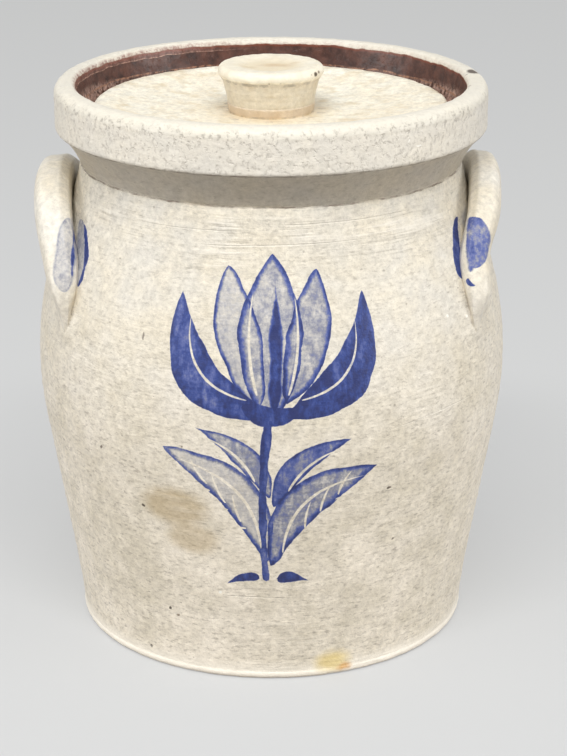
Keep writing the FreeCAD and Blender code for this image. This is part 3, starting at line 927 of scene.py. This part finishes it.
def skin_tree():
    """Salt glaze over stoneware: drifting tone, mottle, pits, pearls, iron and orange peel."""
    tree, put, given, result = new_tree("salt_glaze_skin", "Shader", (
        ("Object", "Vector"), ("Glaze", "Color", (0.7, 0.6, 0.5, 1.0)),
        ("Low glaze", "Color", (0.7, 0.6, 0.5, 1.0)), ("Toasted", "Color", (0.7, 0.6, 0.5, 1.0)),
        ("Grain", "Color", (0.4, 0.3, 0.2, 1.0)), ("Iron", "Color", (0.1, 0.05, 0.03, 1.0)),
        ("Grain share", "Float", 0.4),
    ), (("Colour", "Color"), ("Roughness", "Float"),
        ("Height", "Float")))
    place = given["Object"]
    # Slow drifts of tone, where flame and vapour passed.
    drift = put(NOISE, place, per(40), 1.0)
    patch = put(NOISE, place, per(11), 1.0)
    tone = put(RANGE, put("ADD", drift, patch), 0.7, 1.32)
    # Towards the foot the glaze turns warmer, and paler as painted light that makes up for the dimmer
    # light low on the wall.
    high = put(SMOOTH, put(PARTS, place).outputs["Z"], 60 * MM, 185 * MM)
    colour = put(BLEND, high, given["Low glaze"], given["Glaze"])
    colour = put(BLEND, tone, colour, given["Toasted"])
    mottle = put(NOISE, place, per(2.6), 3.0, 0.76)
    shade = put(RANGE, mottle, 0.3, 0.7, 0.8, 1.14)
    colour = put(BLEND, 1.0, colour, put(XYZ, shade, shade, shade), blend_type="MULTIPLY")
    # Wiped on the turning wheel, the grain lies in short level dashes.
    dashes = clouds(put, put(STRETCH, place, (1.0, 1.0, 2.8)), 3.0, 3.0, (0.53, 0.7), 0.66)
    dashes = put("MULTIPLY", dashes, put(RANGE, high, 0.0, 1.0, 1.35, 1.0), given["Grain share"])
    colour = put(BLEND, dashes, colour, given["Grain"])
    # Pits and pearls of salt: one cell in a few holds either.
    bend = put(NOISE, place, per(1.4), 1.0)
    bent = put(SHIFT, place, put(SCALE, bend.outputs["Color"], 1.1 * MM))
    cells = put(CELLS, bent, per(4.4))
    luck = put(PARTS, cells.outputs["Color"])
    size = put(RANGE, luck.outputs["X"], 0.66, 1.0, 0.0, 0.15)
    pit = put(RANGE, put("SUBTRACT", size, cells.outputs["Distance"]), 0.0, 0.07)
    colour = put(BLEND, put("MULTIPLY", pit, 0.6), colour, given["Grain"])
    size = put(RANGE, luck.outputs["Y"], 0.84, 1.0, 0.0, 0.14)
    pearl = put(RANGE, put("SUBTRACT", size, cells.outputs["Distance"]), 0.0, 0.06, 0.0, 0.55)
    colour = put(BLEND, pearl, colour, "#f7f2e6")
    cells = put(CELLS, bent, per(16))
    luck = put(PARTS, cells.outputs["Color"])
    size = put(RANGE, luck.outputs["X"], 0.7, 1.0, 0.0, 0.045)
    iron = put(RANGE, put("SUBTRACT", size, cells.outputs["Distance"]), 0.0, 0.015, 0.0, 0.8)
    colour = put(BLEND, iron, colour, given["Iron"])
    peel = put(NOISE, place, per(1.5), 2.0)
    height = put("MULTIPLY_ADD", pit, -0.45, put("MULTIPLY_ADD", peel, 0.6, mottle))
    height = put("MULTIPLY_ADD", pearl, 0.5, height)
    rough = put(RANGE, mottle, 0.3, 0.7, 0.34, 0.54)
    for value, socket in zip((colour, rough, height), result):
        join(value, socket)
    return tree


def mark_tree():
    """A soft oval mark round a place."""
    tree, put, given, result = new_tree("placed_mark", "Shader", (
        ("Point", "Vector"), ("Middle", "Vector"), ("Shrink", "Vector", (1.0, 1.0, 1.0)),
        ("Strength", "Float", 1.0), ("Softness", "Float", 0.5),
    ), (("Mark", "Float"),))
    away = put(STRETCH, put(AWAY, given["Point"], given["Middle"]), given["Shrink"])
    away = put(LENGTH, away)
    mark = put(SMOOTH, away, 1.0, put("SUBTRACT", 1.0, given["Softness"]), 0.0, given["Strength"])
    join(mark, result[0])
    return tree


class Mark(NamedTuple):
    """A stain, speck or pearl: its middle and half sizes in millimetres, and its look."""

    middle: tuple
    half: tuple
    colour: str
    strength: float = 0.9
    softness: float = 0.4


# Marks on the unrolled wall, as arc from the front's middle and height.
WALL_MARKS = (
    Mark((-40, 77.5), (19, 11), "#b39a68", 0.58, 0.55),  # tan stain
    Mark((-33, 64), (15, 9), "#b39a68", 0.46, 0.55),  # its lower half
    Mark((-55, 74.7), (0.9, 0.8), "#3d3026"),  # iron
    Mark((-74, 96.2), (0.8, 0.8), "#54463a", 0.8),
    Mark((49.3, 84.2), (1.0, 0.9), "#4a3b30"),
    Mark((54.7, 59.6), (0.7, 0.6), "#4a3b30", 0.8),
    Mark((-47.8, 28.6), (0.9, 0.7), "#332820"),
    Mark((-44.0, 26.0), (1.1, 0.5), "#7b6a58", 0.8),
    Mark((-61.5, 7.0), (0.9, 1.0), "#2e241d"),
    Mark((-52.5, 146), (0.6, 1.6), "#5a4c44", 0.7),
    Mark((-22, 40.5), (0.9, 1.1), "#fffdf4"),  # white specks
    Mark((80.5, 148.5), (0.8, 0.8), "#fffdf4", 0.8),
    Mark((92, 145.7), (0.7, 0.9), "#fffdf4", 0.8),
    Mark((66.5, 218), (2.1, 0.45), "#fffdf4"),  # white spots on the band
    Mark((61, 220.4), (0.7, 0.7), "#fffdf4"),
)

# A yellow stain over the foot's edge, and its rusty heart.
FOOT_MARKS = (
    Mark((29.5, 6.5), (12.5, 7), "#ecd48a", 0.78, 0.75),
    Mark((35.5, 3.2), (5.5, 2.6), "#d79a38", 0.75, 0.8),
)

# Marks at places on the rim: a chip knocked off its top, and scorched dashes at the back.
RIM_MARKS = (
    Mark((82.6, 12.0, 229.0), (3.0, 5.2, 2.2), "#54483e", 1.0, 0.4),
    Mark((78.4, 8.0, 229.4), (2.6, 1.4, 1.4), "#5d5147", 0.85, 0.5),
    Mark((79.0, -14.0, 229.0), (1.2, 1.6, 1.4), "#8c7a68", 0.5, 0.6),
    Mark((-19.0, 84.8, 228.4), (3.4, 2.6, 1.3), "#6f4a3c", 0.85, 0.5),
    Mark((-2.7, 86.6, 228.4), (1.6, 2.6, 1.2), "#6f4a3c", 0.7, 0.5),
    Mark((25.0, 83.4, 228.6), (3.2, 2.8, 1.3), "#6f4a3c", 0.85, 0.5),
)

# Marks on the lid: a tan patch over the front, and a fainter one to the right of the knob.
LID_MARKS = (
    Mark((-4.0, -60.0, 219.0), (60.0, 20.0, 9.0), "#c9ae82", 0.7, 0.9),
    Mark((34.0, -26.0, 217.0), (22.0, 14.0, 6.0), "#d2ba92", 0.3, 0.9),
)

# Marks on the knob: tan smudges on its top and an iron star on its edge.
KNOB_MARKS = (
    Mark((0.0, 0.0, 234.4), (17.0, 16.0, 3.0), "#dcc79e", 0.5, 0.6),
    Mark((2.0, 1.5, 234.4), (10.0, 4.5, 3.0), "#bf9a6a", 0.5, 0.9),
    Mark((-9.0, -3.0, 234.6), (5.0, 3.5, 3.0), "#cbb28a", 0.4, 0.9),
    Mark((9.5, 5.0, 234.6), (3.5, 2.5, 3.0), "#cbb28a", 0.35, 0.9),
    Mark((17.5, -11.2, 233.0), (1.7, 1.6, 1.2), "#43331f", 0.95, 0.5),
    Mark((15.2, -13.6, 233.2), (1.6, 0.8, 0.7), "#6b5a44", 0.8, 0.5),
    Mark((18.9, -9.0, 233.4), (0.9, 1.3, 0.8), "#6b5a44", 0.8, 0.5),
)

# Lines scratched along the unrolled wall while the clay was soft.
SCRATCHES = (
    Stroke((-21, 39), (9, 38.6), 0.2, 0.3, 0.2, 0.3, edge=0.8, fill=0.8, soft=0.3, fade=0.3),
    Stroke((46, 109.6), (95, 113), 1.0, 0.3, 0.3, 0.3, edge=0.7, fill=0.7, soft=0.35),
    Stroke((84, 186), (107, 173.5), 0.4, 0.3, 0.3, 0.3, edge=0.8, fill=0.8, soft=0.35),
    Stroke((-60, 187), (-12, 187.6), 0.0, 0.35, 0.3, 0.3, edge=0.85, fill=0.85),
    Stroke((-30, 182), (45, 183), 0.3, 0.35, 0.3, 0.3, edge=0.85, fill=0.85),
    Stroke((6, 190), (70, 190.4), 0.0, 0.35, 0.3, 0.3, edge=0.85, fill=0.85),
)


def place_marks(put, point, colour, marks):
    """Lay placed marks over a colour; returns the new colour."""
    group = bpy.data.node_groups.get("placed_mark") or mark_tree()
    for mark in marks:
        middle = Vector((*mark.middle, 0.0)[:3]) * MM
        shrink = (*map(per, mark.half), 0.0)[:3]
        spot = put(GROUP, point, middle, shrink, mark.strength, mark.softness, node_tree=group)
        colour = put(BLEND, spot, colour, mark.colour)
    return colour


def start_material(name, colours, glaze, toasted, grain_share):
    """A glazed ceramic material with the salt-glaze skin; returns what to build on."""
    material = bpy.data.materials.new(name)
    material.use_nodes = True
    tree = material.node_tree
    tree.nodes.clear()
    put = partial(add, tree)
    shader = put("BsdfPrincipled", IOR=1.5, Specular_IOR_Level=0.4)
    put("OutputMaterial", Surface=shader)
    place = put("TexCoord").outputs["Object"]
    skin = put(GROUP, place, glaze, colours.low_salt_and_painted_light, toasted, colours.grain, colours.iron,
               grain_share, node_tree=bpy.data.node_groups.get("salt_glaze_skin") or skin_tree())
    return material, put, shader, place, skin.outputs


def finish_material(put, shader, colour, rough, height):
    """Join a colour, a roughness and a height in 0.35 mm steps to the ceramic shader."""
    bump = put("Bump", Strength=0.75, Distance=0.35 * MM, Height=height)
    for label, value in (("Base Color", colour), ("Roughness", rough), ("Normal", bump)):
        join(value, shader.inputs[label])


def lay_cobalt(put, place, group, colour):
    """Paint the ink that a group gives over a colour."""
    ink = put(GROUP, place, node_tree=group)
    paint = bpy.data.node_groups.get("cobalt_under_glaze") or cobalt_tree()
    return put(GROUP, place, ink, colour, node_tree=paint)


def handle_material(colours):
    """Salt-glazed stoneware of the pulled handles, with a daub of cobalt over each joint.

    Pulled clay is smoother than thrown clay, so the eye sees less grain here.
    """
    material, put, shader, place, (colour, rough, height) = start_material(
        "salt_glazed_handles", colours, colours.handle, colours.toasted, 0.12)
    colour = lay_cobalt(put, place, daub_tree("strap"), colour)
    finish_material(put, shader, colour, rough, height)
    return material


def crock_material(colours):
    """Grey stoneware, thrown and fired in salt vapour, painted with cobalt under the glaze.

    The vapour leaves a thin clear glass with a fine orange-peel skin, so the surface is
    satin, mottled and never quite even. Dark brown slip, glossier, lines the inside.
    """
    material, put, shader, place, (colour, rough, height) = start_material(
        "salt_glazed_stoneware", colours, colours.salt, colours.toasted, 0.45)
    z = put(PARTS, place).outputs["Z"]
    jitter = put(NOISE, place, per(3), 2.0)
    jitter = put(AWAY, jitter.outputs["Color"], (0.5, 0.5, 0.5))
    jitter = put(STRETCH, jitter, (2.2 * MM, 2.2 * MM, 0.0))
    chart = unroll(put, place)
    shaken = put(SHIFT, chart, jitter)
    colour = place_marks(put, shaken, colour, WALL_MARKS)

    # The rim and the band's upright face are whiter; the hollow under them is darkened with painted
    # shade.
    for low, high, shade, strength in ((225, 240, "#e5e0d3", 0.68), (211, 224, "#f1ece2", 0.5),
                                       # 197 to 210 mm: painted shade in the hollow under the band
                                       (197, 210, "#85796a", 0.46)):
        rise = put(RANGE, z, (low - 0.6) * MM, (low + 0.6) * MM, 0.0, strength)
        belt = put("MULTIPLY", rise, put(RANGE, z, (high + 2.5) * MM, (high - 0.6) * MM))
        colour = put(BLEND, belt, colour, shade)

    # The salt bites hardest on the rim band: upright pits, dark on its shoulder.
    bitten = clouds(put, put(STRETCH, place, (1.0, 1.0, 0.75)), 1.6, 3.0, (0.53, 0.66), 0.66)
    band = put(RANGE, z, 209.5 * MM, 211 * MM)
    bitten = put("MULTIPLY", bitten, band, put(RANGE, z, 228.6 * MM, 226.4 * MM, 0.12))
    height = put("MULTIPLY_ADD", bitten, -0.7, height)
    bitten = put("MULTIPLY", bitten, put(RANGE, z, 221 * MM, 226 * MM, 0.24, 0.56))
    colour = put(BLEND, bitten, colour, colours.grain)

    colour = place_marks(put, place, colour, RIM_MARKS)

    # Dark lines in the turned line round the neck and under the band's edge: sparse iron, with painted
    # shade in the crease.
    patchy_lines = clouds(put, place, 6, 3.0, (0.36, 0.6, 0.15, 0.9))
    wobble = put("MULTIPLY_ADD", put(NOISE, place, per(4), 2.0), 0.8 * MM, -0.4 * MM)
    level = put("ADD", z, wobble)
    for middle, half, strength in ((196.3, 0.3, 0.8), (210.7, 0.45, 0.7)):
        line = put("MULTIPLY", put("COMPARE", level, middle * MM, half * MM), patchy_lines, strength)
        colour = put(BLEND, line, colour, "#6e5d4f")

    # The worn foot is paler where the glaze ran thin over its edge.
    colour = put(BLEND, put(RANGE, level, 8.0 * MM, 3.2 * MM, 0.0, 0.9), colour, "#fff8ea")
    colour = place_marks(put, shaken, colour, FOOT_MARKS)

    # A rib held against the wall left fine level lines, most of all on the shoulder.
    combed = put(NOISE, put(STRETCH, place, (0.05, 0.05, 1.0)), per(1.7), 2.0)
    zone = put(RANGE, z, 172 * MM, 181 * MM, 0.25, 1.0)
    zone = put("MULTIPLY", zone, put(RANGE, z, 196 * MM, 191 * MM))
    zone = put("MULTIPLY", zone, clouds(put, place, 26, 1.0, (0.4, 0.6)))
    height = put("MULTIPLY_ADD", put("MULTIPLY", combed, zone), 4.0, height)
    lines = put("MULTIPLY", put(RANGE, combed, 0.52, 0.66, 0.0, 0.5), zone)
    colour = put(BLEND, lines, colour, "#f6f0e4")
    scratch = paint_strokes(put, chart, 0.0, SCRATCHES)
    colour = put(BLEND, put("MULTIPLY", scratch, 0.65), colour, "#f4eee0")
    height = put("MULTIPLY_ADD", scratch, -0.8, height)

    colour = lay_cobalt(put, place, flower_tree(), colour)
    colour = lay_cobalt(put, place, daub_tree("wall"), colour)

    # Dark slip inside, its edge wandering, thin and rusty where it ends.
    past = put("Attribute", attribute_name="past_slip_line").outputs["Fac"]
    edge = put("ADD", past, clouds(put, place, 14, 4.0, (0.3, 0.7, -0.6 * MM, 0.6 * MM), 0.6))
    slip = put(BLEND, clouds(put, place, 4.5, 4.0, (0.36, 0.66), 0.6), colours.slip, "#38211b")
    slip = put(BLEND, put(RANGE, edge, 1.3 * MM, 0.1 * MM, 0.0, 0.85), slip, colours.fringe)
    # The lid has worn the slip off the ledge in patches, and rubbed a line above its edge.
    x = put(PARTS, place)
    sides = put(RANGE, put("ABSOLUTE", x), 62 * MM, 76 * MM, 9.5 * MM, 6.5 * MM)
    start = put(RANGE, put("SUBTRACT", past, sides), -1.5 * MM, 1.5 * MM)
    stop = put(RANGE, past, 24 * MM, 21 * MM)
    patches = clouds(put, place, 2.2, 4.0, (0.4, 0.62), 0.7)
    slip = put(BLEND, put("MULTIPLY", start, stop, patches), slip, "#ccab9d")
    rubbed = put("MULTIPLY", put("COMPARE", edge, 8.6 * MM, 0.35 * MM), patches)
    slip = put(BLEND, rubbed, slip, "#aa7c60")
    # At the left the slip runs thin and pinkish over the rim, down to a paler line.
    left = put(RANGE, x, -8 * MM, -36 * MM)
    runs = put("MULTIPLY", put(RANGE, edge, 2.2 * MM, 1.6 * MM, 0.0, 0.8), left)
    grainy = put(RANGE, patches, 0.0, 1.0, 0.15, 0.85)
    slip = put(BLEND, put("MULTIPLY", runs, grainy), slip, "#93695f")
    ends = put("MULTIPLY", put("COMPARE", edge, 2.1 * MM, 0.2 * MM), left, grainy)
    slip = put(BLEND, ends, slip, "#c09a88")
    # Above its edge the thinnest slip has bled into the glaze as a pink stain.
    bleed = put("MULTIPLY", put(RANGE, edge, -2.4 * MM, -0.9 * MM), grainy)
    bleed = put("MULTIPLY", bleed, put(RANGE, past, -4 * MM, -3 * MM))
    bleed = put("MULTIPLY", bleed, put(RANGE, left, 0.0, 1.0, 0.3, 1.0))
    colour = put(BLEND, bleed, colour, "#8c5f58")
    inside = put(RANGE, edge, -0.1 * MM, 0.3 * MM)
    colour = put(BLEND, inside, colour, slip)
    rough = put(MIX, inside, rough, 0.32)
    height = put("MULTIPLY", height, put(RANGE, inside, 0.0, 1.0, 1.0, 0.3))
    # The foot stands on bare clay.
    bare = put(RANGE, z, 0.9 * MM, 0.3 * MM)
    colour = put(BLEND, bare, colour, colours.bare)
    rough = put(MIX, bare, rough, 0.85)
    finish_material(put, shader, colour, rough, height)
    return material


def lid_material(colours):
    """The same salt-glazed clay, fired higher in the kiln: creamier, with tan mottles.

    The knob's neck is toasted, and the seat and the locating ring are left bare so that
    the lid doesn't fuse to the pot.
    """
    material, put, shader, place, (colour, rough, height) = start_material(
        "cream_salt_glaze", colours, colours.lid, colours.lid_toasted, 0.18)
    mottles = clouds(put, place, 7, 3.0, (0.5, 0.72, 0.0, 0.7), 0.6)
    colour = put(BLEND, mottles, colour, colours.lid_tan)
    ash = clouds(put, place, 2.8, 3.0, (0.56, 0.72, 0.0, 0.24), 0.7)
    colour = put(BLEND, ash, colour, "#b3a994")
    colour = place_marks(put, place, colour, LID_MARKS)
    z = put(PARTS, place).outputs["Z"]
    reach = put(LENGTH, put(STRETCH, place, (1.0, 1.0, 0.0)))
    # Tan fading out round the knob's foot, a greyer neck, a warm foot and a white rim.
    near = put(RANGE, reach, 31 * MM, 18 * MM, 0.0, 0.45)
    close = put(RANGE, reach, 23 * MM, 22 * MM)
    for low, high, shade, strength in ((210.0, 216.4, colours.lid_tan, near),
                                       (216.4, 230.4, "#b9ab93", 0.5),
                                       (216.0, 219.6, "#c99e72", 0.3),
                                       (231.4, 240.0, "#e6dfcd", 0.6)):
        belt = put(RANGE, z, (low - 0.2) * MM, (low + 0.2) * MM)
        belt = put("MULTIPLY", belt, put(RANGE, z, (high + 0.6) * MM, (high - 0.2) * MM), strength)
        if strength is not near:
            belt = put("MULTIPLY", belt, close)
        colour = put(BLEND, belt, colour, shade)
    # Dark lines under the knob's rim, in its turned line and round its foot, broken up by noise.
    patchy_lines = clouds(put, place, 3, 3.0, (0.44, 0.62))
    for middle, half, strength in ((230.0, 0.6, 0.6), (219.8, 0.4, 0.15), (216.3, 0.4, 0.5)):
        line = put("MULTIPLY", put("COMPARE", z, middle * MM, half * MM), patchy_lines, close, strength)
        colour = put(BLEND, line, colour, colours.grain)
    colour = place_marks(put, place, colour, KNOB_MARKS)
    # Below its edge the lid is bare clay.
    level = put("ADD", z, clouds(put, place, 6, 3.0, (0.0, 1.0, -0.7 * MM, 0.7 * MM)))
    bare = put(RANGE, level, 214.9 * MM, 214.3 * MM)
    colour = put(BLEND, bare, colour, colours.bare)
    rough = put(MIX, bare, rough, 0.85)
    finish_material(put, shader, colour, rough, height)
    return material


def floor_material(look):
    """A plain matt floor: pale to the camera, a little darker to the light it gives back."""
    material = bpy.data.materials.new("matt_floor")
    material.use_nodes = True
    tree = material.node_tree
    tree.nodes.clear()
    put = partial(add, tree)
    ray = put("LightPath").outputs
    seen = put("MAXIMUM", *(ray[f"Is {kind} Ray"] for kind in ("Camera", "Glossy", "Transmission")))
    colour = put(BLEND, seen, look.floor_bounce, look.floor)
    shader = put("BsdfPrincipled", Base_Color=colour, Roughness=0.9,
                 Specular_IOR_Level=0.1)
    # Seen straight, part of its paleness is its own, so that it stays even far off.
    both = put("MixShader", put("MULTIPLY", seen, 0.45), shader, put("Emission", "#e4e5e5"))
    put("OutputMaterial", both)
    return material


def hang_lamp(name, power, turn, height, off, width, depth):
    """A soft rectangular lamp aimed at the pot, by degrees from the front and above level."""
    lamp = bpy.data.lights.new(name, "AREA")
    lamp.shape = "RECTANGLE"
    lamp.size, lamp.size_y = width, depth
    lamp.energy = power
    turn, height = math.radians(turn), math.radians(height)
    way = Vector((math.sin(turn) * math.cos(height), -math.cos(turn) * math.cos(height),
                  math.sin(height)))
    hung = set_out(name, lamp)
    hung.location = Vector((0.0, 0.0, 0.12)) + way * off
    hung.rotation_euler = way.to_track_quat("Z", "Y").to_euler()
    hung.visible_camera = False


# ---------------------------------------------------------------------------------------
# Operators


class POT_OT_ear_handles(bpy.types.Operator):
    """Pull the two ear handles and lute them to the shoulder"""

    bl_idname = "pot.ear_handles"
    bl_label = "Ear handles"

    def execute(self, context):
        scene = context.scene
        glaze = handle_material(scene.pot_colours)
        for hand in EARS:
            handle = pull_handle(hand, scene.pot_sizes, glaze)
            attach(handle, "pot")
            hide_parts(hand + "_handle")
        return {"FINISHED"}


class POT_OT_crock(bpy.types.Operator):
    """Throw the crock: foot, belly, shoulder, rim band, gallery and the hollow inside"""

    bl_idname = "pot.crock"
    bl_label = "Thrown crock"

    def execute(self, context):
        scene = context.scene
        sizes = scene.pot_sizes
        glaze = crock_material(scene.pot_colours)
        handles = [bpy.data.objects[hand + "_ear_handle"] for hand in EARS]
        crock = throw("thrown_crock", crock_corners(sizes), sizes, glaze,
                      slip_start=(79.4 * MM, sizes.rim_height - 2.2 * MM), handles=handles)
        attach(crock, "pot")
        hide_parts("crock_body")
        return {"FINISHED"}


class POT_OT_lid(bpy.types.Operator):
    """Throw the inset lid and the knob luted to it"""

    bl_idname = "pot.lid"
    bl_label = "Lid and knob"

    def execute(self, context):
        scene = context.scene
        sizes = scene.pot_sizes
        glaze = lid_material(scene.pot_colours)
        lid = throw("inset_lid", lid_corners(sizes), sizes, glaze, seed=7.0, spacing=4.4 * MM,
                    depth=0.18 * MM)
        knob = throw("turned_knob", knob_corners(), sizes, glaze, seed=5.0,
                     spacing=2.6 * MM, depth=0.25 * MM)
        for piece, node in ((lid, "lid"), (knob, "lid_knob")):
            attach(piece, "lid")
            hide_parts(node)
        return {"FINISHED"}


class POT_OT_stage(bpy.types.Operator):
    """Lay the floor, and set the lights and the camera"""

    bl_idname = "pot.stage"
    bl_label = "Floor, light and camera"

    def execute(self, context):
        scene = context.scene
        look = scene.pot_studio
        sheet = bmesh.new()
        bmesh.ops.create_circle(sheet, cap_ends=True, segments=96, radius=9.0)
        mesh = bpy.data.meshes.new("studio_floor")
        sheet.to_mesh(mesh)
        sheet.free()
        mesh.materials.append(floor_material(look))
        floor = set_out("studio_floor", mesh)

        hang_lamp("key", look.key_power, turn=-4, height=55, off=1.8, width=1.6, depth=0.25)
        low = {"height": 8, "off": 3.4, "width": 1.9, "depth": 1.1}
        hang_lamp("left_fill", look.left_power, turn=-72, **low)
        hang_lamp("right_fill", look.right_power, turn=72, **low)

        world = bpy.data.worlds.new("room")
        world.use_nodes = True
        tree = world.node_tree
        tree.nodes.clear()
        put = partial(add, tree)
        ray = put("LightPath").outputs
        seen = put("MAXIMUM", ray["Is Camera Ray"], ray["Is Glossy Ray"])
        strength = put(RANGE, seen, 0.0, 1.0, look.sky, 0.74)
        put("OutputWorld", put("Background", "#fbfaf7", strength))
        scene.world = world

        # The lens and its place are those fitted to the photograph.
        lens = bpy.data.cameras.new("photograph_view")
        lens.lens = 104.76
        lens.sensor_width = 36.0
        lens.clip_start = 0.05
        lens.clip_end = 40.0
        camera = set_out("photograph_view", lens)
        camera.location = (0.00504, -0.8773, 0.4192)
        camera.rotation_euler = Euler((math.radians(70.006), 0.0, 0.0))
        scene.camera = camera
        scene.view_settings.view_transform = "Standard"
        return {"FINISHED"}


class POT_PT_panel(bpy.types.Panel):
    """Lists the pot's pieces and settings"""

    bl_label = "Rumtopf pot"
    bl_idname = "POT_PT_panel"
    bl_space_type = "VIEW_3D"
    bl_region_type = "UI"
    bl_category = "Pot"

    def draw(self, context):
        for step in STEPS:
            self.layout.operator(step.bl_idname)
        for group in (context.scene.pot_sizes, context.scene.pot_colours,
                      context.scene.pot_studio):
            box = self.layout.box()
            for name in group.__annotations__:
                box.prop(group, name)


STEPS = (POT_OT_ear_handles, POT_OT_crock, POT_OT_lid, POT_OT_stage)
SETTINGS = (("pot_sizes", PotSizes), ("pot_colours", PotColours), ("pot_studio", StudioLook))


def register():
    for _name, group in SETTINGS:
        bpy.utils.register_class(group)
    for name, group in SETTINGS:
        setattr(bpy.types.Scene, name, PointerProperty(type=group))
    for kind in (*STEPS, POT_PT_panel):
        bpy.utils.register_class(kind)


def unregister():
    for kind in reversed((*STEPS, POT_PT_panel)):
        bpy.utils.unregister_class(kind)
    for name, group in reversed(SETTINGS):
        delattr(bpy.types.Scene, name)
        bpy.utils.unregister_class(group)


def main():
    """Build the pot round the frame."""
    register()
    bpy.ops.pot.ear_handles()
    bpy.ops.pot.crock()
    bpy.ops.pot.lid()
    bpy.ops.pot.stage()


if __name__ == "__main__":
    main()
